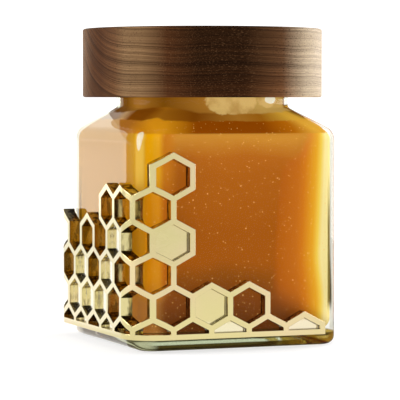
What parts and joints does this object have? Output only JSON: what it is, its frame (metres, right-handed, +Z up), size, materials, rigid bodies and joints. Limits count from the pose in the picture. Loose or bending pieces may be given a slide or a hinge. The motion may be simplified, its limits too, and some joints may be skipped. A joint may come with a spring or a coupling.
{
  "type": "honey jar",
  "caption": "Square clear glass jar of honey with a thick turned walnut lid and a pale gold cast honeycomb sleeve round one corner.",
  "frame": {"origin": "centre of the jar's flat base, on the surface it stands on", "axes": "+Z up along the jar's axis; -Y out of the front face and -X out of the left face, with the sleeve wrapping the corner between them"},
  "size_m": [0.087, 0.087, 0.1129],
  "materials": {
    "glass": "clear, polished, faint green in the thick base",
    "honey": "opaque set honey, glossy, with fine pale specks",
    "walnut": "turned and oiled, satin, with rings and open pores",
    "gold": "pale gold plated casting, polished"
  },
  "bodies": {
    "root": {"glass_jar": "glass", "honey": "honey", "wood_lid": "walnut", "honeycomb_sleeve": "gold"}
  },
  "joints": []
}
